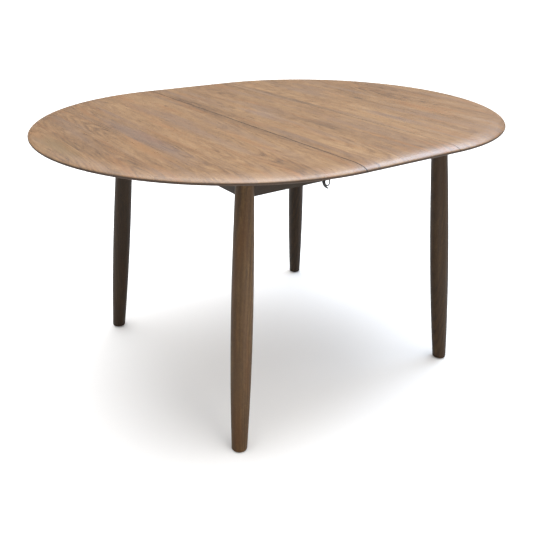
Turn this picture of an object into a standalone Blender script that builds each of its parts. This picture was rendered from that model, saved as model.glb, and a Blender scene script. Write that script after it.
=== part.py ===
"""Round extension dining table: two sliding half tops, one lift-out leaf and a fixed frame on four turned legs.

Metres, +Z up. The origin is on the floor under the middle of the leaf, and the table extends along X.
"""

import math

import bmesh
import bpy
from mathutils import Matrix, Vector

# Overall sizes
TABLE_HEIGHT = 0.740
TOP_RADIUS = 0.530
TOP_THICKNESS = 0.025
LEAF_WIDTH = 0.300
SEAM_GAP = 0.0008

# Rounded rim of the top, measured in from the outline and down from the surface
RIM_CROWN_WIDTH = 0.048
RIM_NOSE_DEPTH = 0.0115
RIM_UNDERCUT_WIDTH = 0.030
RIM_NOSE_FLAT = 0.003

# Legs: turned with a long belly, and leaning outwards by the same angle along X and Y
LEG_TOP_X = 0.322
LEG_TOP_Y = 0.319
LEG_SPLAY = math.radians(3.8)
LEG_TOP_RADIUS = 0.0206
LEG_BELLY_RADIUS = 0.0265
LEG_FOOT_RADIUS = 0.0193
LEG_BELLY_HEIGHT = 0.350

# Glides under the legs
GLIDE_THICKNESS = 0.003
GLIDE_RADIUS = 0.0140
GLIDE_STEM_RADIUS = 0.0020
GLIDE_STEM_LENGTH = 0.012

# Apron frame
APRON_HEIGHT = 0.070
APRON_THICKNESS = 0.022
BLOCK_HEIGHT = 0.056
BLOCK_REACH = 0.078
STRETCHER_WIDTH = 0.045

# Hanger bolts that hold each leg to its corner block
BOLT_RADIUS = 0.0040
BOLT_DEPTH_IN_LEG = 0.016
BOLT_PAST_NUT = 0.006
NUT_ACROSS_FLATS = 0.013
NUT_HEIGHT = 0.0065

# Slides: two fixed rails grooved on both sides, with one runner for each half on either side
RAIL_Y = 0.160
RAIL_WIDTH = 0.030
RAIL_HEIGHT = 0.042
RUNNER_WIDTH = 0.028
RUNNER_HEIGHT = 0.034
TONGUE_HEIGHT = 0.0094
TONGUE_DEPTH = 0.0094
TONGUE_DROP = 0.012
RUNNER_OUTER_REACH = 0.290
RUNNER_INNER_REACH = 0.105
HALF_TRAVEL = 0.060
STOP_LENGTH = 0.026
STOP_HEIGHT = 0.014

# Leaf latches: a bracket, pin, finger lever and wire bail on each half, and a hook on the leaf.
# The left pair hang open and the right pair are folded shut.
LATCH_INSET = 0.112
LATCH_PIVOT_INSET = 0.0130
LATCH_PIVOT_DROP = 0.0120
BRACKET_LENGTH = 0.040
BRACKET_WIDTH = 0.0136
BRACKET_SHEET = 0.0015
EAR_WALL = 0.0017
PIN_RADIUS = 0.0015
LEVER_SHEET = 0.0025
LEVER_LENGTH = 0.040
LEVER_BULGE = 0.0112
EYE_WALL = 0.0014
BAIL_PIVOT_ANGLE = math.radians(-110)
BAIL_WIRE_RADIUS = 0.0015
BAIL_LENGTH = 0.0270
BAIL_BEND = 0.0082
HOOK_WIDTH = 0.0080
HOOK_SHEET = 0.0020
HOOK_LIP = 0.0028
HOOK_PLATE_LENGTH = 0.022
LATCH_SHUT_ANGLE = math.radians(80)
BAIL_TURN_RATIO = -2.0
LATCH_REST_ANGLE = {"left": 0.0, "right": LATCH_SHUT_ANGLE}

# Clearances
TOUCH = 0.0003
UNDER_TOP_CLEARANCE = 0.0010
SLIDE_CLEARANCE = 0.0004
NOTCH_CLEARANCE = 0.0012
HOLE_CLEARANCE = 0.0003
STOP_CLEARANCE = 0.0004
LEVER_CLEARANCE = 0.0005
BAIL_CLEARANCE = 0.0009
EAR_CLEARANCE = 0.0013
HOOK_CLEARANCE = 0.0004
LIP_CLEARANCE = 0.0007

# Fineness of round shapes
HALF_RIM_STEPS = 48
LEG_SEGMENTS = 28
LEG_RINGS = 14
ROUND_SEGMENTS = 16

# Places worked out from the sizes above
SEAM_X = LEAF_WIDTH / 2 + SEAM_GAP
UNDERSIDE_Z = TABLE_HEIGHT - TOP_THICKNESS
FRAME_TOP_Z = UNDERSIDE_Z - TOUCH
APRON_BOTTOM_Z = FRAME_TOP_Z - APRON_HEIGHT
SPLAY_SLOPE = math.tan(LEG_SPLAY)
APRON_SPREAD = SPLAY_SLOPE * APRON_HEIGHT / 2
APRON_X = LEG_TOP_X + APRON_SPREAD
APRON_Y = LEG_TOP_Y + APRON_SPREAD
APRON_INNER_X = APRON_X - APRON_THICKNESS / 2
APRON_INNER_Y = APRON_Y - APRON_THICKNESS / 2
BOLT_Z = FRAME_TOP_Z - APRON_HEIGHT / 2
RAIL_TOP_Z = UNDERSIDE_Z - UNDER_TOP_CLEARANCE
TONGUE_Z = RAIL_TOP_Z - TONGUE_DROP
RUNNER_TOP_Z = UNDERSIDE_Z - TOUCH
RUNNER_BOTTOM_Z = RUNNER_TOP_Z - RUNNER_HEIGHT
RUNNER_Y = {-1: RAIL_Y + RAIL_WIDTH / 2 + SLIDE_CLEARANCE + RUNNER_WIDTH / 2}
RUNNER_Y[1] = RAIL_Y - RAIL_WIDTH / 2 - SLIDE_CLEARANCE - RUNNER_WIDTH / 2
LATCH_Y = TOP_RADIUS - LATCH_INSET
EAR_RADIUS = PIN_RADIUS + HOLE_CLEARANCE + EAR_WALL
EYE_RADIUS = PIN_RADIUS + HOLE_CLEARANCE + EYE_WALL
LEVER_WIDTH = BRACKET_WIDTH - 2 * (BRACKET_SHEET + LEVER_CLEARANCE)
BAIL_WIDTH = BRACKET_WIDTH + 2 * (BAIL_WIRE_RADIUS + BAIL_CLEARANCE)
BAIL_PIVOT_RADIUS = EAR_RADIUS + BAIL_WIRE_RADIUS + EAR_CLEARANCE
SIDES = {"left": -1, "right": 1}
ENDS = {"front": -1, "back": 1}


def start_empty():
    for obj in list(bpy.data.objects):
        bpy.data.objects.remove(obj, do_unlink=True)
    collections = {}
    for name in ("extension_table", "cutters"):
        collections[name] = bpy.data.collections.new(name)
        bpy.context.scene.collection.children.link(collections[name])
    return collections


COLLECTIONS = start_empty()


def make_material(name, color, roughness, metallic=0.0):
    material = bpy.data.materials.new(name)
    material.use_nodes = True
    shader = material.node_tree.nodes["Principled BSDF"]
    shader.inputs["Base Color"].default_value = (*color, 1.0)
    shader.inputs["Roughness"].default_value = roughness
    shader.inputs["Metallic"].default_value = metallic
    return material


TOP_OAK = make_material("top_oak", (0.30, 0.19, 0.12), 0.42)
LEG_OAK = make_material("leg_oak", (0.12, 0.075, 0.045), 0.50)
FRAME_OAK = make_material("frame_oak", (0.08, 0.055, 0.035), 0.60)
BEECH = make_material("beech", (0.55, 0.38, 0.22), 0.55)
BLACK_STEEL = make_material("black_steel", (0.012, 0.012, 0.013), 0.35, 0.6)
ZINC = make_material("zinc", (0.60, 0.60, 0.58), 0.35, 1.0)
GLIDE_PLASTIC = make_material("glide_plastic", (0.03, 0.03, 0.03), 0.6)


def add_object(name, mesh, material, matrix=None):
    obj = bpy.data.objects.new(name, mesh)
    mesh.materials.clear()
    mesh.materials.append(material)
    COLLECTIONS["extension_table"].objects.link(obj)
    if matrix is not None:
        obj.matrix_world = matrix
    return obj


def mesh_from(name, bm, smooth_angle=math.radians(30)):
    bmesh.ops.recalc_face_normals(bm, faces=bm.faces)
    mesh = bpy.data.meshes.new(name)
    bm.to_mesh(mesh)
    bm.free()
    mesh.shade_smooth()
    mesh.set_sharp_from_angle(angle=smooth_angle)
    return mesh


def box_mesh(name, low, high):
    low, high = Vector(low), Vector(high)
    place = Matrix.Translation((low + high) / 2) @ Matrix.Diagonal((*(high - low), 1.0))
    bm = bmesh.new()
    bmesh.ops.create_cube(bm, size=1.0, matrix=place)
    return mesh_from(name, bm)


def add_box(name, low, high, material):
    return add_object(name, box_mesh(name, low, high), material)


def cylinder_mesh(name, radius, length, matrix=None, segments=ROUND_SEGMENTS):
    bm = bmesh.new()
    bmesh.ops.create_cone(
        bm, cap_ends=True, segments=segments, radius1=radius, radius2=radius, depth=length,
        matrix=matrix or Matrix.Identity(4),
    )
    return mesh_from(name, bm)


def cut(obj, mesh, matrix=None):
    """Takes the closed mesh, placed by matrix, away from the object."""
    cutter = bpy.data.objects.new(mesh.name, mesh)
    COLLECTIONS["cutters"].objects.link(cutter)
    if matrix is not None:
        cutter.matrix_world = matrix
    cutter.hide_render = True
    cutter.display_type = "WIRE"
    modifier = obj.modifiers.new("cut", "BOOLEAN")
    modifier.operation = "DIFFERENCE"
    modifier.solver = "EXACT"
    modifier.object = cutter


def curve_to_mesh(name, curve):
    """A closed mesh of the curve, with its caps welded on and its faces turned out."""
    obj = bpy.data.objects.new(name, curve)
    bpy.context.scene.collection.objects.link(obj)
    depsgraph = bpy.context.evaluated_depsgraph_get()
    raw = bpy.data.meshes.new_from_object(obj.evaluated_get(depsgraph))
    bm = bmesh.new()
    bm.from_mesh(raw)
    bmesh.ops.remove_doubles(bm, verts=bm.verts, dist=0.00001)
    bpy.data.objects.remove(obj, do_unlink=True)
    bpy.data.meshes.remove(raw)
    return mesh_from(name, bm)


def outline_mesh(name, outlines, thickness):
    """A flat plate of the first outline with the others as holes, centred on its own XY plane."""
    curve = bpy.data.curves.new(name, "CURVE")
    curve.dimensions = "2D"
    curve.fill_mode = "BOTH"
    curve.extrude = thickness / 2
    for points in outlines:
        spline = curve.splines.new("POLY")
        spline.points.add(len(points) - 1)
        spline.use_cyclic_u = True
        for slot, (x, y) in zip(spline.points, points):
            slot.co = (x, y, 0.0, 1.0)
    return curve_to_mesh(name, curve)


def arc(centre, radius, start, end, steps):
    """Points on a circle from one angle to another, both included."""
    angles = [start + (end - start) * k / steps for k in range(steps + 1)]
    return [(centre[0] + radius * math.cos(a), centre[1] + radius * math.sin(a)) for a in angles]


def circle(centre, radius, segments=12):
    return arc(centre, radius, 0.0, math.tau * (1 - 1 / segments), segments - 1)


def along_x(x, y=0.0, z=0.0):
    """Stands an outline up in the YZ plane, with its thickness along X."""
    turn = Matrix(((0, 0, 1, 0), (1, 0, 0, 0), (0, 1, 0, 0), (0, 0, 0, 1)))
    return Matrix.Translation((x, y, z)) @ turn


def rim_profile():
    """The rim as (inset, drop) pairs: a wide quarter oval over the top, a nose and a sloped undercut."""
    crown_steps = 7
    points = []
    for k in range(crown_steps + 1):
        angle = math.pi / 2 * k / crown_steps
        inset = RIM_CROWN_WIDTH * (1 - math.sin(angle))
        drop = RIM_NOSE_DEPTH * (1 - math.cos(angle))
        points.append((inset, drop))
    points.append((0.0, RIM_NOSE_DEPTH + RIM_NOSE_FLAT))
    points.append((RIM_UNDERCUT_WIDTH, TOP_THICKNESS))
    return points


def add_half_top(side_name, side):
    """Half a disc with the rim turned round it, closed by the square edge at the seam."""
    name = f"top_half_{side_name}"
    section = [(0.0, TABLE_HEIGHT)]
    section += [(TOP_RADIUS - inset, TABLE_HEIGHT - drop) for inset, drop in rim_profile()]
    section.append((0.0, UNDERSIDE_Z))
    bm = bmesh.new()
    verts = [bm.verts.new((0.0, -radius, z)) for radius, z in section]
    edges = [bm.edges.new(pair) for pair in zip(verts, verts[1:])]
    bmesh.ops.spin(
        bm, geom=verts + edges, cent=(0, 0, 0), axis=(0, 0, side), angle=math.pi,
        steps=HALF_RIM_STEPS, dvec=(0, 0, 0), use_merge=False,
    )
    bmesh.ops.remove_doubles(bm, verts=bm.verts, dist=0.00001)
    bmesh.ops.edgeloop_fill(bm, edges=[edge for edge in bm.edges if edge.is_boundary])
    bmesh.ops.translate(bm, verts=bm.verts, vec=(side * SEAM_X, 0, 0))
    return add_object(name, mesh_from(name, bm), TOP_OAK)


def add_leaf():
    """The loose board between the halves, with the same rim on its two short ends."""
    rim = rim_profile()
    front = [(-(TOP_RADIUS - inset), TABLE_HEIGHT - drop) for inset, drop in reversed(rim)]
    back = [(TOP_RADIUS - inset, TABLE_HEIGHT - drop) for inset, drop in rim]
    mesh = outline_mesh("leaf", [front + back], LEAF_WIDTH)
    return add_object("leaf", mesh, TOP_OAK, along_x(0.0))


def leg_matrix(side, end):
    """Places a leg: its own +Z runs up the leg, and its origin is where its axis meets the floor."""
    lean = SPLAY_SLOPE * UNDERSIDE_Z
    foot = Vector((side * (LEG_TOP_X + lean), end * (LEG_TOP_Y + lean), 0.0))
    head = Vector((side * LEG_TOP_X, end * LEG_TOP_Y, UNDERSIDE_Z))
    turn = Vector((0, 0, 1)).rotation_difference(head - foot)
    return Matrix.Translation(foot) @ turn.to_matrix().to_4x4()


def leg_radius(height):
    """The turned outline: widest at the belly, drawn in by the square of the distance from it."""
    if height < LEG_BELLY_HEIGHT:
        share = (LEG_BELLY_HEIGHT - height) / LEG_BELLY_HEIGHT
        return LEG_BELLY_RADIUS - (LEG_BELLY_RADIUS - LEG_FOOT_RADIUS) * share**2
    share = (height - LEG_BELLY_HEIGHT) / (UNDERSIDE_Z - LEG_BELLY_HEIGHT)
    return LEG_BELLY_RADIUS - (LEG_BELLY_RADIUS - LEG_TOP_RADIUS) * share**2


def leg_mesh(name, grow=0.0):
    """A turned leg, a little longer than it needs to be, so that both ends can be cut level."""
    top, bottom = UNDERSIDE_Z + LEG_BELLY_RADIUS, -LEG_BELLY_RADIUS
    heights = [top + (bottom - top) * k / LEG_RINGS for k in range(LEG_RINGS + 1)]
    outline = [(0.0, top)] + [(leg_radius(z) + grow, z) for z in heights] + [(0.0, bottom)]
    bm = bmesh.new()
    verts = [bm.verts.new((radius, 0.0, z)) for radius, z in outline]
    edges = [bm.edges.new(pair) for pair in zip(verts, verts[1:])]
    bmesh.ops.spin(
        bm, geom=verts + edges, cent=(0, 0, 0), axis=(0, 0, 1), angle=math.tau,
        steps=LEG_SEGMENTS, dvec=(0, 0, 0), use_merge=True,
    )
    bmesh.ops.remove_doubles(bm, verts=bm.verts, dist=0.00001)
    return mesh_from(name, bm)


def bolt_frame(side, end):
    """The hanger bolt's frame: +Z from the leg's axis diagonally in towards the middle of the table."""
    lean = SPLAY_SLOPE * (UNDERSIDE_Z - BOLT_Z)
    start = Vector((side * (LEG_TOP_X + lean), end * (LEG_TOP_Y + lean), BOLT_Z))
    turn = Vector((0, 0, 1)).rotation_difference(Vector((-side, -end, 0)))
    return Matrix.Translation(start) @ turn.to_matrix().to_4x4()


def block_outline(side, end):
    """The corner block in plan: it fills the corner behind the leg and clears the leg's round back."""
    inner_lean = SPLAY_SLOPE * TOUCH
    leg_x = LEG_TOP_X + inner_lean
    leg_y = LEG_TOP_Y + inner_lean
    back_of_leg = leg_radius(UNDERSIDE_Z - BLOCK_HEIGHT) + 2 * TOUCH
    corner_x, corner_y = APRON_INNER_X - TOUCH, APRON_INNER_Y - TOUCH
    past_corner = (corner_x - leg_x + corner_y - leg_y) / math.sqrt(2)
    front = (back_of_leg + past_corner) * math.sqrt(2)
    points = [(front, 0.0), (BLOCK_REACH, 0.0), (0.0, BLOCK_REACH), (0.0, front)]
    return [(side * (corner_x - u), end * (corner_y - v)) for u, v in points]


def block_back_distance(side, end):
    """How far the block's long back face is from the leg's axis, along the bolt."""
    start = bolt_frame(side, end).translation
    points = block_outline(side, end)
    middle = Vector(((points[1][0] + points[2][0]) / 2, (points[1][1] + points[2][1]) / 2, BOLT_Z))
    return (middle - start).length


def bolt_length(side, end):
    """How far the bolt runs in from the leg's axis: through the block and the nut, and a little past it."""
    return block_back_distance(side, end) + TOUCH + NUT_HEIGHT + BOLT_PAST_NUT


def bolt_mesh(name, length, grow=0.0):
    place = Matrix.Translation((0, 0, length / 2 - BOLT_DEPTH_IN_LEG / 2))
    return cylinder_mesh(name, BOLT_RADIUS + grow, length + BOLT_DEPTH_IN_LEG + 2 * grow, place)


def add_leg_corner(side_name, side, end_name, end):
    """One corner: leg, glide, corner block, hanger bolt and nut."""
    corner = f"{end_name}_{side_name}"
    place = leg_matrix(side, end)
    bolt_place = bolt_frame(side, end)
    back = block_back_distance(side, end)
    nut_middle = back + TOUCH + NUT_HEIGHT / 2
    length = bolt_length(side, end)
    foot = place.translation

    leg = add_object(f"leg_{corner}", leg_mesh(f"leg_{corner}"), LEG_OAK, place)
    cut_level(leg, foot, -2 * LEG_BELLY_RADIUS, GLIDE_THICKNESS + TOUCH)
    cut_level(leg, bolt_place.translation, FRAME_TOP_Z, FRAME_TOP_Z + 2 * LEG_BELLY_RADIUS)
    cut(leg, bolt_mesh(f"bolt_hole_{corner}", length, HOLE_CLEARANCE), bolt_place)
    stem_hole = cylinder_mesh(
        f"stem_hole_{corner}", GLIDE_STEM_RADIUS + HOLE_CLEARANCE, 2 * (GLIDE_STEM_LENGTH + GLIDE_THICKNESS)
    )
    cut(leg, stem_hole, Matrix.Translation((foot.x, foot.y, HOLE_CLEARANCE)))

    add_glide(f"glide_{corner}", foot)

    block = outline_mesh(f"corner_block_{corner}", [block_outline(side, end)], BLOCK_HEIGHT)
    block_z = FRAME_TOP_Z - (APRON_HEIGHT - BLOCK_HEIGHT) / 2 - BLOCK_HEIGHT / 2
    block = add_object(block.name, block, BEECH, Matrix.Translation((0, 0, block_z)))
    cut(block, bolt_mesh(f"block_hole_{corner}", length, HOLE_CLEARANCE), bolt_place)

    hanger = bolt_mesh(f"hanger_bolt_{corner}", length)
    add_object(hanger.name, hanger, ZINC, bolt_place)
    nut_corner = NUT_ACROSS_FLATS / math.sqrt(3)
    nut = outline_mesh(
        f"nut_{corner}", [circle((0, 0), nut_corner, 6), circle((0, 0), BOLT_RADIUS + HOLE_CLEARANCE)],
        NUT_HEIGHT,
    )
    add_object(nut.name, nut, ZINC, bolt_place @ Matrix.Translation((0, 0, nut_middle)))


def cut_level(leg, centre, low_z, high_z):
    """Trims one end of the leaning leg level."""
    wide = 2 * LEG_BELLY_RADIUS
    low = (centre.x - wide, centre.y - wide, low_z)
    high = (centre.x + wide, centre.y + wide, high_z)
    cut(leg, box_mesh(f"level_cut_{leg.name}", low, high))


def add_glide(name, foot):
    """A round plastic glide with a stem that is pressed up into the leg."""
    outline = [
        (0.0, GLIDE_THICKNESS + GLIDE_STEM_LENGTH),
        (GLIDE_STEM_RADIUS, GLIDE_THICKNESS + GLIDE_STEM_LENGTH),
        (GLIDE_STEM_RADIUS, GLIDE_THICKNESS),
        (GLIDE_RADIUS, GLIDE_THICKNESS),
        (GLIDE_RADIUS, GLIDE_THICKNESS / 4),
        (GLIDE_RADIUS - GLIDE_THICKNESS / 4, 0.0),
        (0.0, 0.0),
    ]
    mesh = bpy.data.meshes.new(name)
    mesh.from_pydata([(radius, 0, z) for radius, z in outline], [(k, k + 1) for k in range(len(outline) - 1)], [])
    glide = add_object(name, mesh, GLIDE_PLASTIC, Matrix.Translation(foot))
    screw = glide.modifiers.new("turn", "SCREW")
    screw.steps = 24
    screw.render_steps = 24
    screw.use_merge_vertices = True
    screw.merge_threshold = 0.0001


def cope_to_legs(obj, corners, along_x_axis):
    """Hollows an apron's ends to sit against the round legs, clear of the bolt and of the next apron."""
    for side, end in corners:
        cut(obj, leg_mesh(f"cope_{obj.name}", grow=TOUCH), leg_matrix(side, end))
        bolt_gap = bolt_mesh(f"bolt_gap_{obj.name}", bolt_length(side, end), HOLE_CLEARANCE)
        cut(obj, bolt_gap, bolt_frame(side, end))
        reach, height = 2 * APRON_THICKNESS, APRON_HEIGHT / 2 + TOUCH
        beyond = side if along_x_axis else -side
        low_x, high_x = sorted((-beyond * TOUCH / 2, beyond * reach))
        mitre = box_mesh(f"mitre_{obj.name}", (low_x, -reach, -height), (high_x, reach, height))
        turn = Matrix.Rotation(-side * end * math.pi / 4, 4, "Z")
        cut(obj, mitre, Matrix.Translation((side * APRON_X, end * APRON_Y, BOLT_Z)) @ turn)


def add_aprons():
    for end_name, end in ENDS.items():
        low_y, high_y = sorted((end * APRON_INNER_Y, end * (APRON_INNER_Y + APRON_THICKNESS)))
        low, high = (-APRON_X, low_y, APRON_BOTTOM_Z), (APRON_X, high_y, FRAME_TOP_Z)
        apron = add_box(f"apron_{end_name}", low, high, FRAME_OAK)
        cope_to_legs(apron, [(side, end) for side in SIDES.values()], True)
    for side_name, side in SIDES.items():
        low_x, high_x = sorted((side * APRON_INNER_X, side * (APRON_INNER_X + APRON_THICKNESS)))
        reach = APRON_INNER_Y + APRON_THICKNESS / 2
        apron = add_box(f"apron_{side_name}", (low_x, -reach, APRON_BOTTOM_Z), (high_x, reach, FRAME_TOP_Z), FRAME_OAK)
        cope_to_legs(apron, [(side, end) for end in ENDS.values()], False)
        for end in ENDS.values():
            cut_runner_notch(apron, side, end)


def cut_runner_notch(apron, side, end):
    """An open notch in the end apron's top edge, which a runner passes through."""
    middle = end * RUNNER_Y[side]
    half_width = RUNNER_WIDTH / 2 + NOTCH_CLEARANCE
    near = side * (APRON_INNER_X - APRON_THICKNESS)
    far = side * (APRON_INNER_X + 2 * APRON_THICKNESS)
    low = (min(near, far), middle - half_width, RUNNER_BOTTOM_Z - NOTCH_CLEARANCE)
    high = (max(near, far), middle + half_width, TABLE_HEIGHT)
    cut(apron, box_mesh(f"notch_{apron.name}", low, high))


def add_rails():
    """Fixed rails along X with a groove in each face, and the stretcher that carries their middles."""
    half, depth = RAIL_WIDTH / 2, TONGUE_DEPTH + SLIDE_CLEARANCE
    groove = TONGUE_HEIGHT / 2 + SLIDE_CLEARANCE
    top, bottom = RAIL_TOP_Z, RAIL_TOP_Z - RAIL_HEIGHT
    right = [
        (half, bottom), (half, TONGUE_Z - groove), (half - depth, TONGUE_Z - groove),
        (half - depth, TONGUE_Z + groove), (half, TONGUE_Z + groove), (half, top),
    ]
    outline = right + [(-y, z) for y, z in reversed(right)]
    length = 2 * (APRON_INNER_X - TOUCH)
    for end_name, end in ENDS.items():
        mesh = outline_mesh(f"guide_rail_{end_name}", [outline], length)
        add_object(mesh.name, mesh, BEECH, along_x(0.0, end * RAIL_Y))
    reach = APRON_INNER_Y - TOUCH
    low = (-STRETCHER_WIDTH / 2, -reach, APRON_BOTTOM_Z)
    high = (STRETCHER_WIDTH / 2, reach, bottom - TOUCH)
    add_box("centre_stretcher", low, high, FRAME_OAK)


def add_runner(side_name, side, end_name, end):
    """A runner screwed under one half top, with a tongue in the rail's groove and a stop block below."""
    towards_rail = end * side
    half = RUNNER_WIDTH / 2
    tongue = half + TONGUE_DEPTH
    outline = [
        (-half, RUNNER_BOTTOM_Z), (half, RUNNER_BOTTOM_Z), (half, TONGUE_Z - TONGUE_HEIGHT / 2),
        (tongue, TONGUE_Z - TONGUE_HEIGHT / 2), (tongue, TONGUE_Z + TONGUE_HEIGHT / 2),
        (half, TONGUE_Z + TONGUE_HEIGHT / 2), (half, RUNNER_TOP_Z), (-half, RUNNER_TOP_Z),
    ]
    outline = [(towards_rail * y, z) for y, z in outline]
    outer, inner = SEAM_X + RUNNER_OUTER_REACH, -RUNNER_INNER_REACH
    middle_y = end * RUNNER_Y[side]
    mesh = outline_mesh(f"runner_{side_name}_{end_name}", [outline], outer - inner)
    runner = add_object(mesh.name, mesh, BEECH, along_x(side * (outer + inner) / 2, middle_y))
    trim_tongue(runner, side, middle_y)

    stop_outer = side * (APRON_INNER_X - HALF_TRAVEL - STOP_CLEARANCE)
    stop_inner = stop_outer - side * STOP_LENGTH
    low_x, high_x = sorted((stop_outer, stop_inner))
    low = (low_x, middle_y - half, RUNNER_BOTTOM_Z - TOUCH - STOP_HEIGHT)
    high = (high_x, middle_y + half, RUNNER_BOTTOM_Z - TOUCH)
    add_box(f"runner_stop_{side_name}_{end_name}", low, high, BEECH)


def trim_tongue(runner, side, middle_y):
    """Takes the tongue off where the runner passes through the apron's notch and beyond it."""
    cutter_half = RAIL_WIDTH / 2 + 2 * SLIDE_CLEARANCE
    rail_y = math.copysign(RAIL_Y, middle_y)
    start = APRON_INNER_X - HALF_TRAVEL - STOP_CLEARANCE
    low_x, high_x = sorted((side * start, side * (SEAM_X + RUNNER_OUTER_REACH + TONGUE_DEPTH)))
    low = (low_x, rail_y - cutter_half + SLIDE_CLEARANCE, TONGUE_Z - TONGUE_HEIGHT)
    high = (high_x, rail_y + cutter_half - SLIDE_CLEARANCE, TONGUE_Z + TONGUE_HEIGHT)
    cut(runner, box_mesh(f"trim_{runner.name}", low, high))


def latch_frame(side, end):
    """A latch's own frame at its pivot: +X towards the seam, +Z up, and the hinge axis along +Y."""
    pivot = Vector((side * (SEAM_X + LATCH_PIVOT_INSET), end * LATCH_Y, UNDERSIDE_Z - LATCH_PIVOT_DROP))
    turn = Matrix.Rotation(0.0 if side < 0 else math.pi, 4, "Z")
    return Matrix.Translation(pivot) @ turn


def upright(frame):
    """Stands an outline up in the frame's XZ plane, with its thickness along Y."""
    turn = Matrix(((1, 0, 0, 0), (0, 0, -1, 0), (0, 1, 0, 0), (0, 0, 0, 1)))
    return frame @ turn


def add_latch(side_name, side, end_name, end):
    latch = f"{side_name}_{end_name}"
    frame = latch_frame(side, end)
    angle = LATCH_REST_ANGLE[side_name]
    lever_frame = frame @ Matrix.Rotation(angle, 4, "Y")
    pivot_x, pivot_z = bail_pivot()
    bail_turn = Matrix.Rotation(BAIL_TURN_RATIO * angle, 4, "Y")
    add_bracket(latch, frame)
    add_lever(latch, lever_frame)
    add_bail(latch, lever_frame @ Matrix.Translation((pivot_x, 0.0, pivot_z)) @ bail_turn)
    add_hook(latch, frame)


def add_bracket(latch, frame):
    """A folded channel: a plate under the half top, and two ears with cut corners that hold the pin."""
    name = f"latch_bracket_{latch}"
    top = LATCH_PIVOT_DROP - TOUCH
    half = BRACKET_WIDTH / 2
    inner = half - BRACKET_SHEET
    channel = [
        (-half, -EAR_RADIUS), (-inner, -EAR_RADIUS), (-inner, top - BRACKET_SHEET),
        (inner, top - BRACKET_SHEET), (inner, -EAR_RADIUS), (half, -EAR_RADIUS),
        (half, top), (-half, top),
    ]
    mesh = outline_mesh(name, [channel], BRACKET_LENGTH)
    middle = EAR_RADIUS - BRACKET_LENGTH / 2
    bracket = add_object(name, mesh, BLACK_STEEL, frame @ along_x(middle))
    ear_top = top - BRACKET_SHEET
    corners = [(2.0, -2.0), (2.0, 0.6), (0.35, -1.05), (-0.35, -1.05), (-1.0, -0.4)]
    away = [(-BRACKET_LENGTH, -2 * EAR_RADIUS)] + [(x * EAR_RADIUS, z * EAR_RADIUS) for x, z in corners]
    away += [(-EAR_RADIUS, ear_top), (-BRACKET_LENGTH, ear_top)]
    cut(bracket, outline_mesh(f"ear_cut_{latch}", [away], 2 * BRACKET_WIDTH), upright(frame))
    hole = cylinder_mesh(f"pin_hole_{latch}", PIN_RADIUS + HOLE_CLEARANCE, 2 * BRACKET_WIDTH)
    cut(bracket, hole, upright(frame))
    pin = cylinder_mesh(f"latch_pin_{latch}", PIN_RADIUS, BRACKET_WIDTH)
    add_object(pin.name, pin, ZINC, upright(frame))


def bail_pivot(lever_angle=0.0):
    """Where the bail is hinged on the lever, from the lever's own pivot."""
    angle = BAIL_PIVOT_ANGLE - lever_angle
    return BAIL_PIVOT_RADIUS * math.cos(angle), BAIL_PIVOT_RADIUS * math.sin(angle)


def bail_end(lever_angle):
    """Where the middle of the bail's free end is, for the lever at an angle."""
    x, z = bail_pivot(lever_angle)
    lean = -(1.0 + BAIL_TURN_RATIO) * lever_angle
    return x + BAIL_LENGTH * math.sin(lean), z - BAIL_LENGTH * math.cos(lean)


def lever_outline():
    """A finger lever: an eye round the pivot, and a tail bowed away from the seam down to its tip."""
    bow_radius = ((LEVER_LENGTH / 2) ** 2 + LEVER_BULGE**2) / (2 * LEVER_BULGE)
    centre = (bow_radius - LEVER_BULGE, -LEVER_LENGTH / 2)
    half_sweep = math.asin(LEVER_LENGTH / 2 / bow_radius)
    outer = arc(centre, bow_radius + LEVER_SHEET / 2, math.pi - 0.62 * half_sweep, math.pi + half_sweep, 10)
    inner = arc(centre, bow_radius - LEVER_SHEET / 2, math.pi + half_sweep, math.pi - 0.30 * half_sweep, 9)
    bail = bail_pivot()
    heel = arc(bail, EYE_RADIUS, math.radians(-70), math.radians(10), 4)
    eye = arc((0.0, 0.0), EYE_RADIUS, math.radians(-20), math.radians(170), 7)
    return outer + inner + heel + eye


def add_lever(latch, frame):
    name = f"latch_lever_{latch}"
    holes = [
        circle((0.0, 0.0), PIN_RADIUS + HOLE_CLEARANCE),
        circle(bail_pivot(), BAIL_WIRE_RADIUS + HOLE_CLEARANCE),
    ]
    mesh = outline_mesh(name, [lever_outline(), *holes], LEVER_WIDTH)
    add_object(name, mesh, BLACK_STEEL, upright(frame))


def add_bail(latch, frame):
    """A closed wire loop that hangs from the lever, with wide bends at its free end."""
    name = f"latch_bail_{latch}"
    half = BAIL_WIDTH / 2
    small, large = 2 * BAIL_WIRE_RADIUS, BAIL_BEND
    route = arc((half - small, -small), small, math.pi / 2, 0.0, 4)
    route += arc((half - large, large - BAIL_LENGTH), large, 0.0, -math.pi / 2, 6)
    route += [(-y, z) for y, z in reversed(route)]
    curve = bpy.data.curves.new(name, "CURVE")
    curve.dimensions = "3D"
    curve.bevel_depth = BAIL_WIRE_RADIUS
    curve.bevel_resolution = 2
    spline = curve.splines.new("POLY")
    spline.points.add(len(route) - 1)
    spline.use_cyclic_u = True
    for slot, (y, z) in zip(spline.points, route):
        slot.co = (0.0, y, z, 1.0)
    add_object(name, curve_to_mesh(name, curve), BLACK_STEEL, frame)


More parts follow.
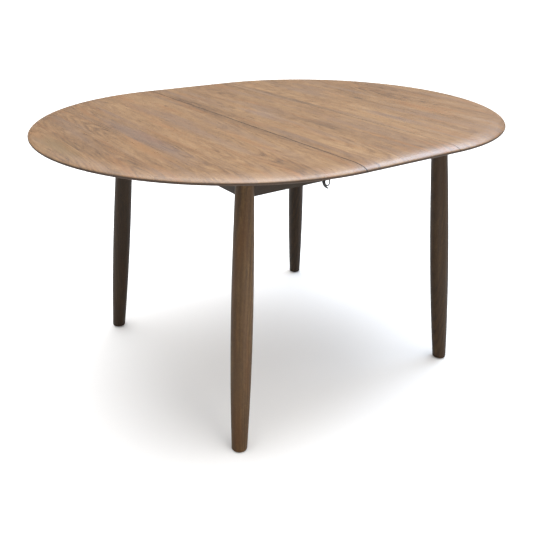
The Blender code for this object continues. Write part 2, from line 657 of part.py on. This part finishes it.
def add_hook(latch, frame):
    """The hook under the leaf's edge that the bail is drawn against."""
    name = f"latch_hook_{latch}"
    top = LATCH_PIVOT_DROP - TOUCH
    end_x, end_z = bail_end(LATCH_SHUT_ANGLE)
    lip_bottom = end_z + BAIL_WIRE_RADIUS + LIP_CLEARANCE
    lip_top = lip_bottom + HOOK_SHEET
    post = end_x - BAIL_WIRE_RADIUS - HOOK_CLEARANCE
    outline = [
        (post - HOOK_SHEET, top), (post - HOOK_SHEET, lip_bottom), (post + HOOK_LIP, lip_bottom),
        (post + HOOK_LIP, lip_top), (post, lip_top), (post, top - HOOK_SHEET),
        (post + HOOK_PLATE_LENGTH, top - HOOK_SHEET), (post + HOOK_PLATE_LENGTH, top),
    ]
    mesh = outline_mesh(name, [outline], HOOK_WIDTH)
    add_object(name, mesh, BLACK_STEEL, upright(frame))


def build():
    add_leaf()
    add_aprons()
    add_rails()
    for side_name, side in SIDES.items():
        add_half_top(side_name, side)
        for end_name, end in ENDS.items():
            add_leg_corner(side_name, side, end_name, end)
            add_runner(side_name, side, end_name, end)
            add_latch(side_name, side, end_name, end)


build()
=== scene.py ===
import math

import bmesh
import bpy
from mathutils import Matrix, Vector


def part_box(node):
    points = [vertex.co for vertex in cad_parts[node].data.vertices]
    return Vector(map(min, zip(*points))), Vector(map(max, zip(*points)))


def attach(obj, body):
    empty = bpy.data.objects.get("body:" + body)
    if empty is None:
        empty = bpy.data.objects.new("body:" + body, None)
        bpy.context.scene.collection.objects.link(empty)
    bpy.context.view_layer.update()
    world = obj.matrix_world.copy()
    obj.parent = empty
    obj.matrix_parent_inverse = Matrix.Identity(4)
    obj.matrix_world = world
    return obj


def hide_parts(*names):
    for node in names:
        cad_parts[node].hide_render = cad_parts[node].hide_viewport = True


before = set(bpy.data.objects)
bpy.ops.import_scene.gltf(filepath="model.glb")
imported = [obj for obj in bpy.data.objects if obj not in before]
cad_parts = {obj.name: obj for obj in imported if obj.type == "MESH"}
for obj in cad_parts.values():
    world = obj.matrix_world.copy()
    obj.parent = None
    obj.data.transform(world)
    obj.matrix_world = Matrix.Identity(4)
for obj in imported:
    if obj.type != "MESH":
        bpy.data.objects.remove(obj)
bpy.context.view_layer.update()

# Camera: off one corner of the table and a little above its top, looking down at it.
# The lens is shifted down, as a view camera's is, which keeps the legs nearly upright.
camera = bpy.data.cameras.new("camera")
camera.sensor_width = 36.0
camera.lens = 45.1
camera.shift_y = -0.1248
camera.clip_end = 200.0
camera_object = bpy.data.objects.new("camera", camera)
bpy.context.scene.collection.objects.link(camera_object)
place = Matrix.Translation((-1.1132, -1.5070, 1.1465))
heading = Matrix.Rotation(math.radians(-35.62), 4, "Z")
pitch = Matrix.Rotation(math.radians(90 - 19.68), 4, "X")
roll = Matrix.Rotation(math.radians(0.735), 4, "Z")
camera_object.matrix_world = place @ heading @ pitch @ roll
bpy.context.scene.camera = camera_object

# Floor and light: a white paper floor that runs to the horizon, under a sky that is dim low down and
# bright above. Two broad distant lights shine from overhead and from the near right. Three soft boxes
# add light to the near half of the top, to the nearest leg and along the rounded rim.
floor_mesh = bpy.data.meshes.new("floor")
bm = bmesh.new()
bmesh.ops.create_grid(bm, x_segments=1, y_segments=1, size=60.0)
bm.to_mesh(floor_mesh)
bm.free()
floor = bpy.data.objects.new("floor", floor_mesh)
bpy.context.scene.collection.objects.link(floor)
floor_material = bpy.data.materials.new("floor_paper")
floor_material.use_nodes = True
floor_shader = floor_material.node_tree.nodes["Principled BSDF"]
floor_shader.inputs["Base Color"].default_value = (0.87, 0.87, 0.87, 1.0)
floor_shader.inputs["Roughness"].default_value = 0.9
floor_shader.inputs["Specular IOR Level"].default_value = 0.0
floor_mesh.materials.append(floor_material)

world = bpy.data.worlds.new("studio")
world.use_nodes = True
bpy.context.scene.world = world
tree = world.node_tree
sky_place = tree.nodes.new("ShaderNodeTexCoord")
sky_height = tree.nodes.new("ShaderNodeSeparateXYZ")
sky_light = tree.nodes.new("ShaderNodeMapRange")
sky_light.interpolation_type = "SMOOTHSTEP"
for key, value in {"From Min": 0.22, "From Max": 0.55, "To Min": 0.16, "To Max": 1.35}.items():
    sky_light.inputs[key].default_value = value
tree.links.new(sky_place.outputs["Generated"], sky_height.inputs[0])
tree.links.new(sky_height.outputs["Z"], sky_light.inputs["Value"])
backdrop_ray = tree.nodes.new("ShaderNodeLightPath")
sky_or_backdrop = tree.nodes.new("ShaderNodeMath")
sky_or_backdrop.operation = "MAXIMUM"
tree.links.new(sky_light.outputs[0], sky_or_backdrop.inputs[0])
tree.links.new(backdrop_ray.outputs["Is Camera Ray"], sky_or_backdrop.inputs[1])
tree.links.new(sky_or_backdrop.outputs[0], tree.nodes["Background"].inputs["Strength"])
tree.nodes["Background"].inputs["Color"].default_value = (1.0, 1.0, 1.0, 1.0)
bpy.context.scene.view_settings.view_transform = "Standard"


def add_sun(name, strength, spread, tilt, heading):
    """A distant soft light. Tilt is from straight overhead, and heading is where it stands, from +X."""
    light = bpy.data.lights.new(name, "SUN")
    light.energy = strength
    light.angle = math.radians(spread)
    lamp = bpy.data.objects.new(name, light)
    bpy.context.scene.collection.objects.link(lamp)
    turned = Matrix.Rotation(math.radians(heading), 4, "Z")
    lamp.matrix_world = turned @ Matrix.Rotation(math.radians(tilt), 4, "Y")


def add_softbox(name, power, size, colour, place, target):
    """A square soft light, turned to face a point."""
    light = bpy.data.lights.new(name, "AREA")
    light.energy = power
    light.color = colour
    light.size = size
    lamp = bpy.data.objects.new(name, light)
    bpy.context.scene.collection.objects.link(lamp)
    lamp.visible_camera = False
    toward = (Vector(target) - Vector(place)).to_track_quat("-Z", "Y")
    lamp.matrix_world = Matrix.Translation(place) @ toward.to_matrix().to_4x4()


add_sun("overhead_light", 2.7, 60, 14, 54)
add_sun("near_right_light", 0.20, 40, 65, -50)
add_softbox("near_softbox", 9.0, 0.9, (0.72, 0.86, 1.0), (0.05, -0.40, 2.2), (0.05, -0.40, 0.74))
add_softbox("leg_softbox", 3.5, 0.4, (1.0, 0.95, 0.88), (-0.30, -1.15, 0.20), (-0.36, -0.36, 0.25))
add_softbox("rim_softbox", 26.0, 1.2, (0.60, 0.77, 1.0), (1.60, -0.05, 2.25), (0.05, -0.50, 0.73))


# Half tops: solid D-shaped oak boards, smoked and oiled, so the wood is brown right through.
# They are glued up from staves, each with its own tone, streaks, growth rings and pores. The rim is
# wide and rounded, with a blunt nose and a sloped undercut, and the seam's sharp corners are taken off.
class Wiring:
    """Adds nodes to one material: an input is a value, or another node's socket to link from."""

    def __init__(self, name):
        self.material = bpy.data.materials.new(name)
        self.material.use_nodes = True
        self.tree = self.material.node_tree
        self.shader = self.tree.nodes["Principled BSDF"]

    def feed(self, node, values):
        for key, value in values.items():
            if isinstance(value, bpy.types.NodeSocket):
                self.tree.links.new(value, node.inputs[key])
            else:
                node.inputs[key].default_value = value

    def add(self, kind, values, **settings):
        node = self.tree.nodes.new("ShaderNode" + kind)
        for key, value in settings.items():
            setattr(node, key, value)
        self.feed(node, values)
        return node

    def math(self, operation, first, second=0.0, third=0.0):
        return self.add("Math", {0: first, 1: second, 2: third}, operation=operation).outputs[0]

    def vector(self, operation, first, second=(0.0, 0.0, 0.0)):
        node = self.add("VectorMath", {0: first, 1: second}, operation=operation)
        return node.outputs["Value" if operation == "LENGTH" else "Vector"]

    def remap(self, value, from_low, from_high, to_low=0.0, to_high=1.0):
        """Turns one range of a value into another, and holds it at both ends."""
        ends = {"From Min": from_low, "From Max": from_high, "To Min": to_low, "To Max": to_high}
        return self.add("MapRange", {"Value": value, **ends}).outputs[0]

    def stretched_noise(self, place, across, along, detail=2.0):
        """Noise in 0 to 1 drawn out along the grain, with sizes given as features per metre."""
        scaled = self.vector("MULTIPLY", place, (across, along, across))
        return self.add("TexNoise", {"Vector": scaled, "Scale": 1.0, "Detail": detail}).outputs["Fac"]

    def ramp(self, factor, stops):
        node = self.add("ValToRGB", {"Fac": factor})
        elements = node.color_ramp.elements
        while len(elements) < len(stops):
            elements.new(0.5)
        for element, (position, color) in zip(elements, stops):
            element.position = position
            element.color = (*color, 1.0)
        return node.outputs["Color"]

    def blend(self, factor, color, other):
        """Mixes a colour socket with another colour or socket."""
        node = self.add("Mix", {}, data_type="RGBA")
        self.feed(node, {0: factor, 6: color, 7: other if len(other) == 4 else (*other, 1.0)})
        return node.outputs[2]


def solid_wood(
    name, tones, grain="Y", stave=0.075, contrast=1.0, figure=1.0, flecks=0.0,
    roughness=0.38, gloss=0.5, seed=0.0,
):
    """Wood with its grain along one axis. Tones: dark streak, body, light wood, greyed patch."""
    wires = Wiring(name)
    place = wires.add("TexCoord", {}).outputs["Object"]
    turn = {"X": (0.0, 0.0, math.pi / 2), "Y": (0.0, 0.0, 0.0), "Z": (math.pi / 2, 0.0, 0.0)}[grain]
    moved = wires.add("Mapping", {"Vector": place, "Rotation": turn, "Location": (seed, seed, seed)})
    turned = moved.outputs[0]
    across, along, _ = wires.add("SeparateXYZ", {0: turned}).outputs

    # Each stave is cut from another part of the tree, so its pattern is shifted by its own amounts.
    staves = {"W": across, "Scale": 1.0 / stave, "Randomness": 0.5}
    cell = wires.add("TexVoronoi", staves, voronoi_dimensions="1D").outputs
    chance = wires.add("SeparateColor", {"Color": cell["Color"]}).outputs
    shift = wires.add("CombineXYZ", {0: chance["Red"], 1: chance["Green"], 2: chance["Blue"]})
    shift = wires.vector("MULTIPLY", shift.outputs[0], (1.7, 5.3, 2.1))
    wood = wires.vector("ADD", turned, shift)

    broad = wires.stretched_noise(wood, 14.0, 3.0)
    streak = wires.stretched_noise(wood, 62.0, 6.0, 3.0)
    thread = wires.stretched_noise(wood, 170.0, 11.0, 3.0)
    fibre = wires.stretched_noise(wood, 360.0, 26.0, 3.0)
    speck = wires.stretched_noise(wood, 700.0, 110.0, 2.0)
    pores = wires.remap(wires.stretched_noise(wood, 1500.0, 60.0, 1.0), 0.58, 0.70)

    # Growth rings show as long arches up the middle of a stave, bent a little and faded in places.
    from_middle = wires.math("SUBTRACT", across, cell["W"])
    up_arch = wires.math("MULTIPLY_ADD", wires.math("SUBTRACT", chance["Red"], 0.5), 1.3, along)
    up_arch = wires.math("MULTIPLY", up_arch, 0.085)
    arch = wires.vector("LENGTH", wires.add("CombineXYZ", {0: from_middle, 1: up_arch}).outputs[0])
    bend = wires.math("MULTIPLY", wires.stretched_noise(wood, 22.0, 5.0, 2.0), 9.0)
    ripple = wires.math("SINE", wires.math("MULTIPLY_ADD", arch, 1050.0, bend))
    rings = wires.math("POWER", wires.math("MULTIPLY_ADD", ripple, 0.5, 0.5), 2.0)
    shown = wires.remap(wires.stretched_noise(wood, 9.0, 3.0, 1.0), 0.45, 0.62, 0.25)
    rings = wires.math("MULTIPLY", rings, shown)

    stave_tone = wires.math("SUBTRACT", chance["Blue"], 0.5)
    tone = wires.math("MULTIPLY_ADD", stave_tone, 0.16 * contrast, 0.52)
    for part, weight in ((broad, 0.45), (streak, 0.35), (thread, 0.45), (fibre, 0.55), (speck, 0.50)):
        centred = wires.math("SUBTRACT", part, 0.5)
        tone = wires.math("MULTIPLY_ADD", centred, weight * contrast, tone)
    tone = wires.math("MULTIPLY_ADD", rings, -0.20 * figure, tone)
    color = wires.ramp(tone, [(0.15, tones[0]), (0.50, tones[1]), (0.85, tones[2])])

    warm = wires.remap(wires.stretched_noise(wood, 34.0, 3.4), 0.52, 0.72, 0.0, 0.55)
    color = wires.blend(warm, color, [tones[1][0] * 1.16, tones[1][1] * 0.94, tones[1][2] * 0.72])
    grey = wires.remap(wires.stretched_noise(wood, 22.0, 2.6), 0.50, 0.70, 0.0, 0.6)
    color = wires.blend(grey, color, tones[3])
    if flecks > 0:
        rays = wires.vector("MULTIPLY", wood, (160.0, 420.0, 160.0))
        rays = wires.add("TexVoronoi", {"Vector": rays, "Scale": 1.0}).outputs["Distance"]
        color = wires.blend(wires.remap(rays, 0.30, 0.12, 0.0, flecks), color, tones[2])
    color = wires.blend(wires.math("MULTIPLY", pores, 0.40), color, tones[0])
    wires.feed(wires.shader, {"Base Color": color, "Specular IOR Level": gloss})

    rough = wires.math("MULTIPLY_ADD", wires.math("SUBTRACT", fibre, 0.5), 0.25, roughness)
    relief = wires.math("MULTIPLY_ADD", pores, -0.6, fibre)
    bump = wires.add("Bump", {"Height": relief, "Strength": 0.25, "Distance": 0.0004})
    wires.feed(wires.shader, {"Roughness": rough, "Normal": bump.outputs[0]})
    return wires


top_tones = ((0.075, 0.034, 0.013), (0.190, 0.098, 0.038), (0.290, 0.170, 0.078), (0.160, 0.096, 0.060))
top_wires = solid_wood("top_oak", top_tones, roughness=0.32, gloss=0.55)
top_place = top_wires.add("TexCoord", {}).outputs["Object"]
top_x, _, top_z = top_wires.add("SeparateXYZ", {0: top_place}).outputs
top_color = top_wires.shader.inputs["Base Color"].links[0].from_socket
top_rough = top_wires.shader.inputs["Roughness"].links[0].from_socket


def mark(color, middle, half_size, strength, tone):
    """A soft-edged patch in the wood, longer along the grain, that frays along the streaks."""
    fray = top_wires.stretched_noise(top_place, 90.0, 7.0, 3.0)
    fray = top_wires.math("MULTIPLY", top_wires.math("SUBTRACT", fray, 0.5), 1.6)
    centred = top_wires.vector("SUBTRACT", top_place, (*middle, 0.0))
    sized = top_wires.vector("MULTIPLY", centred, (1 / half_size[0], 1 / half_size[1], 0.0))
    reach = top_wires.math("ADD", top_wires.vector("LENGTH", sized), fray)
    return top_wires.blend(top_wires.remap(reach, 1.1, 0.3, 0.0, strength), color, tone)


greyed = (0.135, 0.088, 0.070)
dark = (0.055, 0.028, 0.014)
amber = (0.215, 0.098, 0.030)
olive = (0.150, 0.090, 0.030)
knot = (0.060, 0.020, 0.010)
for middle, half_size, strength, tone in (
    ((-0.440, -0.06), (0.030, 0.30), 0.50, greyed),
    ((-0.485, -0.16), (0.018, 0.17), 0.60, amber),
    ((-0.395, -0.10), (0.016, 0.20), 0.45, amber),
    ((-0.640, -0.01), (0.035, 0.14), 0.55, olive),
    ((-0.045, 0.00), (0.030, 0.12), 0.50, greyed),
    ((0.018, -0.18), (0.020, 0.11), 0.45, dark),
    ((0.159, 0.17), (0.006, 0.26), 0.60, dark),
    ((0.245, -0.22), (0.022, 0.16), 0.50, greyed),
    ((0.350, 0.04), (0.011, 0.036), 0.60, dark),
    ((-0.222, 0.253), (0.007, 0.013), 0.80, knot),
):
    top_color = mark(top_color, middle, half_size, strength, tone)


def seam_shade(seam_x, strength):
    """A dark line painted along a joint between two boards: painted shade, standing in for the shade in
    the gap.
    """
    away = top_wires.math("ABSOLUTE", top_wires.math("SUBTRACT", top_x, seam_x))
    return top_wires.remap(away, 0.0008, 0.0026, strength, 0.0)


leaf_low, leaf_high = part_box("leaf")
left_seam = (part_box("top_half_left")[1].x + leaf_low.x) / 2
right_seam = (leaf_high.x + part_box("top_half_right")[0].x) / 2
# Painted shade along both seams, stronger at the left seam than at the right.
seams = top_wires.math("MAXIMUM", seam_shade(left_seam, 0.85), seam_shade(right_seam, 0.45))
seam_gap_shade = (0.020, 0.012, 0.008)
top_color = top_wires.blend(seams, top_color, seam_gap_shade)

# Below the nose the rim's underside is painted darker, as painted shade, and made rougher, so it is dull.
underside_painted_shade = (0.022, 0.011, 0.005)
underside_line = leaf_high.z - 0.0093
low_side = top_wires.remap(top_z, underside_line + 0.0009, underside_line - 0.0009, 0.0, 0.92)
top_color = top_wires.blend(low_side, top_color, underside_painted_shade)
top_rough = top_wires.math("MULTIPLY_ADD", low_side, 0.55, top_rough)
top_wires.feed(top_wires.shader, {"Base Color": top_color, "Roughness": top_rough})
top_oak = top_wires.material


def link_piece(name, bm, material, body, sharp=30):
    """Makes the finished object: faces turned out, smooth but for its real corners, riding on a body."""
    bmesh.ops.recalc_face_normals(bm, faces=bm.faces)
    mesh = bpy.data.meshes.new(name)
    bm.to_mesh(mesh)
    bm.free()
    mesh.shade_smooth()
    mesh.set_sharp_from_angle(angle=math.radians(sharp))
    mesh.materials.append(material)
    piece = bpy.data.objects.new(name, mesh)
    bpy.context.scene.collection.objects.link(piece)
    even = piece.modifiers.new("even_shading", "WEIGHTED_NORMAL")
    even.keep_sharp = True
    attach(piece, body)
    return piece


def rim_curve(radius, top_z, bottom_z):
    """The rim from the flat top round to the flat underside, as (distance from the middle, height)."""
    crown_width, crown_drop, crown_steps = 0.048, 0.0115, 26
    nose_radius, nose_turn, nose_steps = 0.004, math.radians(65), 6
    undercut_end = radius - 0.034
    ease_width, ease_depth = 0.005, 0.0006
    points = []
    for k in range(crown_steps + 1):
        angle = math.pi / 2 * k / crown_steps
        inset = crown_width * (1 - math.sin(angle))
        points.append((radius - inset, top_z - crown_drop * (1 - math.cos(angle))))
    for k in range(1, nose_steps + 1):
        angle = nose_turn * k / nose_steps
        inset = nose_radius * (1 - math.cos(angle))
        points.append((radius - inset, top_z - crown_drop - nose_radius * math.sin(angle)))
    points.append((undercut_end, bottom_z + ease_depth))
    points.append((undercut_end - ease_width, bottom_z))
    return points


hair = 1e-6
weld = 1e-5


def half_top(name, side, body, arris):
    low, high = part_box(name)
    seam_x = high.x if side < 0 else low.x
    bm = bmesh.new()
    verts = [bm.verts.new((0.0, -distance, z)) for distance, z in rim_curve(high.y, high.z, low.z)]
    edges = [bm.edges.new(pair) for pair in zip(verts, verts[1:])]
    bmesh.ops.spin(
        bm, geom=verts + edges, cent=(0, 0, 0), axis=(0, 0, side), angle=math.pi, steps=180,
        dvec=(0, 0, 0), use_merge=False,
    )
    for z in (high.z, low.z):
        open_edges = [edge for edge in bm.edges if edge.is_boundary]
        ring = [edge for edge in open_edges if all(abs(v.co.z - z) < hair for v in edge.verts)]
        ends = [v for v in {v for edge in ring for v in edge.verts} if abs(v.co.x) < hair]
        bmesh.ops.contextual_create(bm, geom=ring + [bm.edges.new(ends)])
    seam = [edge for edge in bm.edges if edge.is_boundary]
    bmesh.ops.contextual_create(bm, geom=seam)
    bmesh.ops.bevel(
        bm, geom=seam, offset=arris, segments=3, profile=0.5, affect="EDGES", material=-1
    )
    bmesh.ops.translate(bm, verts=bm.verts, vec=(seam_x, 0, 0))
    board = link_piece(f"{name}_board", bm, top_oak, body, 20)
    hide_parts(name)


half_top("top_half_left", -1, "half_left", 0.0010)
half_top("top_half_right", 1, "half_right", 0.0005)

# Leaf: a straight oak board glued up from the same staves, and finished as the half tops are.
# The same rim is worked across its two ends, and its long edges just have their corners taken off.
leaf_rim = rim_curve(leaf_high.y, leaf_high.z, leaf_low.z)
leaf_section = [(-y, z) for y, z in leaf_rim] + [(y, z) for y, z in reversed(leaf_rim)]
leaf_arris = 0.0006
bm = bmesh.new()
leaf_face = bm.faces.new([bm.verts.new((leaf_low.x, y, z)) for y, z in leaf_section])
leaf_grown = bmesh.ops.extrude_face_region(bm, geom=[leaf_face], use_keep_orig=True)["geom"]
leaf_verts = [item for item in leaf_grown if isinstance(item, bmesh.types.BMVert)]
bmesh.ops.translate(bm, verts=leaf_verts, vec=(leaf_high.x - leaf_low.x, 0, 0))
leaf_edges = [edge for edge in bm.edges if abs(edge.verts[0].co.x - edge.verts[1].co.x) < hair]
bmesh.ops.bevel(
    bm, geom=leaf_edges, offset=leaf_arris, segments=3, profile=0.5, affect="EDGES", material=-1
)
leaf_board = link_piece("leaf_board", bm, top_oak, "leaf", 20)
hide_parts("leaf")

# Legs: turned from solid oak with a long belly, leaning out of the corners, and rounded at the foot.
# Each is turned from its own square, so the grain runs up the leg and no two are quite alike. Their tones
# are also scaled by corner, as painted light and shade: the front-left leg lightest, the front-right
# darker, the back legs darkest.
leg_tones = ((0.018, 0.009, 0.003), (0.050, 0.025, 0.008), (0.100, 0.057, 0.021), (0.044, 0.026, 0.012))
leg_light_and_shade = {"front_left": 1.10, "front_right": 0.62, "back_left": 0.46, "back_right": 0.46}
leg_lean = math.tan(math.radians(3.8))
foot_rounding = 0.0045


def leg_radius(height, top_z):
    """The leg is thickest at the belly and thins up to the frame and down to the foot."""
    belly_height = 0.350
    top, belly, foot = 0.0206, 0.0265, 0.0193
    if height < belly_height:
        return belly - (belly - foot) * ((belly_height - height) / belly_height) ** 2
    return belly - (belly - top) * ((height - belly_height) / (top_z - belly_height)) ** 2


def leg_profile(start_z, top_z):
    """Half the leg's outline, from its head down round the foot's edge to the middle of the foot."""
    shaft_steps, foot_steps = 60, 8
    heights = [start_z - (start_z - foot_rounding) * k / shaft_steps for k in range(shaft_steps + 1)]
    points = [(0.0, start_z)] + [(leg_radius(z, top_z), z) for z in heights]
    for k in range(1, foot_steps + 1):
        angle = math.pi / 2 * k / foot_steps
        inset = foot_rounding * (1 - math.cos(angle))
        points.append((leg_radius(0.0, top_z) - inset, foot_rounding * (1 - math.sin(angle))))
    return points + [(0.0, 0.0)]


def turned_leg(corner):
    name = f"leg_{corner}"
    low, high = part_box(name)
    side = 1 if high.x > 0 else -1
    end = 1 if high.y > 0 else -1
    top_z = leaf_low.z
    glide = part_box(f"glide_{corner}")
    foot = (glide[0] + glide[1]) / 2
    head = Vector((foot.x - side * leg_lean * top_z, foot.y - end * leg_lean * top_z, top_z))
    foot.z = 0.0
    turn = Vector((0, 0, 1)).rotation_difference((head - foot).normalized())
    bm = bmesh.new()
    verts = [bm.verts.new((radius, 0, z)) for radius, z in leg_profile(high.z + 0.004, top_z)]
    edges = [bm.edges.new(pair) for pair in zip(verts, verts[1:])]
    bmesh.ops.spin(
        bm, geom=verts + edges, cent=(0, 0, 0), axis=(0, 0, 1), angle=math.tau, steps=72,
        dvec=(0, 0, 0), use_merge=True,
    )
    bmesh.ops.remove_doubles(bm, verts=bm.verts, dist=weld)
    bmesh.ops.transform(
        bm, matrix=Matrix.Translation(foot) @ turn.to_matrix().to_4x4(), verts=bm.verts
    )
    for cut_z, up in ((high.z, 1), (low.z, -1)):
        whole = list(bm.verts) + list(bm.edges) + list(bm.faces)
        bmesh.ops.bisect_plane(
            bm, geom=whole, plane_co=(0, 0, cut_z), plane_no=(0, 0, up), clear_outer=True
        )
        cut = [edge for edge in bm.edges if edge.is_boundary]
        if cut:
            bmesh.ops.contextual_create(bm, geom=cut)
    # The leg's tones are scaled by its corner's painted light and shade.
    tones = [tuple(channel * leg_light_and_shade[corner] for channel in tone) for tone in leg_tones]
    wires = solid_wood(
        f"leg_oak_{corner}", tones, grain="Z", stave=0.4, contrast=0.8, flecks=0.5,
        roughness=0.55, gloss=0.2, seed=1.3 + side + 0.4 * end,
    )
    leg = link_piece(f"{name}_turned", bm, wires.material, "frame", 35)
    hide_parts(name)


for leg_corner in leg_light_and_shade:
    turned_leg(leg_corner)

# Aprons and stretcher: straight rails of the same smoked oak, sanded and given one thin coat.
# They are coped to the legs, and their long corners are rounded over a little.
apron_tones = ((0.007, 0.004, 0.002), (0.020, 0.012, 0.006), (0.038, 0.023, 0.012), (0.022, 0.015, 0.009))
apron_rounding = 0.0012


def eased(node, material, body, width):
    """A copy of a straight-edged piece with its corners rounded over a little."""
    bm = bmesh.new()
    bm.from_mesh(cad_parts[node].data)
    bmesh.ops.remove_doubles(bm, verts=bm.verts, dist=weld)
    bmesh.ops.dissolve_limit(bm, angle_limit=math.radians(1), verts=bm.verts, edges=bm.edges)
    joined = [edge for edge in bm.edges if edge.is_manifold]
    corners = [edge for edge in joined if edge.calc_face_angle() > math.radians(50)]
    bmesh.ops.bevel(
        bm, geom=corners, offset=width, segments=3, profile=0.5, affect="EDGES", material=-1,
        clamp_overlap=True,
    )
    piece = link_piece(f"{node}_eased", bm, material, body, 35)
    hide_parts(node)


apron_finish = {"stave": 0.3, "contrast": 0.8, "figure": 0.5, "roughness": 0.55, "gloss": 0.2}
long_oak = solid_wood("apron_oak_long", apron_tones, "X", seed=2.2, **apron_finish).material
short_oak = solid_wood("apron_oak_short", apron_tones, "Y", seed=3.1, **apron_finish).material
for apron in ("apron_front", "apron_back"):
    eased(apron, long_oak, "frame", apron_rounding)
for apron in ("apron_left", "apron_right", "centre_stretcher"):
    eased(apron, short_oak, "frame", apron_rounding)

# Slides and blocks: plain beech, planed and waxed. The guide rails and corner blocks are glued into
# the frame, and the runners and their stops are screwed up under the half tops, which they carry.
beech_tones = ((0.34, 0.20, 0.10), (0.50, 0.33, 0.18), (0.62, 0.44, 0.27), (0.46, 0.31, 0.19))
beech = solid_wood(
    "beech", beech_tones, "X", stave=0.5, contrast=0.5, figure=0.3, flecks=0.25,
    roughness=0.5, gloss=0.4, seed=4.0,
).material
for end in ("front", "back"):
    eased(f"guide_rail_{end}", beech, "frame", 0.0006)
    for side in ("left", "right"):
        eased(f"runner_{side}_{end}", beech, f"half_{side}", 0.0006)
        eased(f"runner_stop_{side}_{end}", beech, f"half_{side}", 0.0010)
        eased(f"corner_block_{end}_{side}", beech, "frame", 0.0012)


# Metal and glides: the latches are black coated sheet and wire, and the bolts, nuts and latch pins
# are bright zinc. The glides under the feet are moulded black plastic.
def fine_grained(name, color, metallic, roughness, mottle):
    wires = Wiring(name)
    place = wires.add("TexCoord", {}).outputs["Object"]
    grain = wires.add("TexNoise", {"Vector": place, "Scale": 900.0, "Detail": 3.0}).outputs["Fac"]
    spread = wires.remap(grain, 0.0, 1.0, roughness - mottle, roughness + mottle)
    bump = wires.add("Bump", {"Height": grain, "Strength": 0.1, "Distance": 0.0001})
    wires.feed(wires.shader, {"Base Color": (*color, 1.0), "Metallic": metallic})
    wires.feed(wires.shader, {"Roughness": spread, "Normal": bump.outputs[0]})
    return wires


black_steel = fine_grained("black_steel", (0.003, 0.003, 0.0035), 0.0, 0.50, 0.10)
black_steel.feed(black_steel.shader, {"Specular IOR Level": 0.25})
zinc = fine_grained("zinc", (0.56, 0.56, 0.53), 1.0, 0.34, 0.08)
plastic = fine_grained("glide_plastic", (0.020, 0.020, 0.020), 0.0, 0.55, 0.08)

for end in ("front", "back"):
    for side in ("left", "right"):
        for node, finish in (
            (f"hanger_bolt_{end}_{side}", zinc),
            (f"nut_{end}_{side}", zinc),
            (f"glide_{end}_{side}", plastic),
            (f"latch_pin_{side}_{end}", zinc),
            (f"latch_bracket_{side}_{end}", black_steel),
            (f"latch_lever_{side}_{end}", black_steel),
            (f"latch_bail_{side}_{end}", black_steel),
            (f"latch_hook_{side}_{end}", black_steel),
        ):
            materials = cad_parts[node].data.materials
            materials.clear()
            materials.append(finish.material)
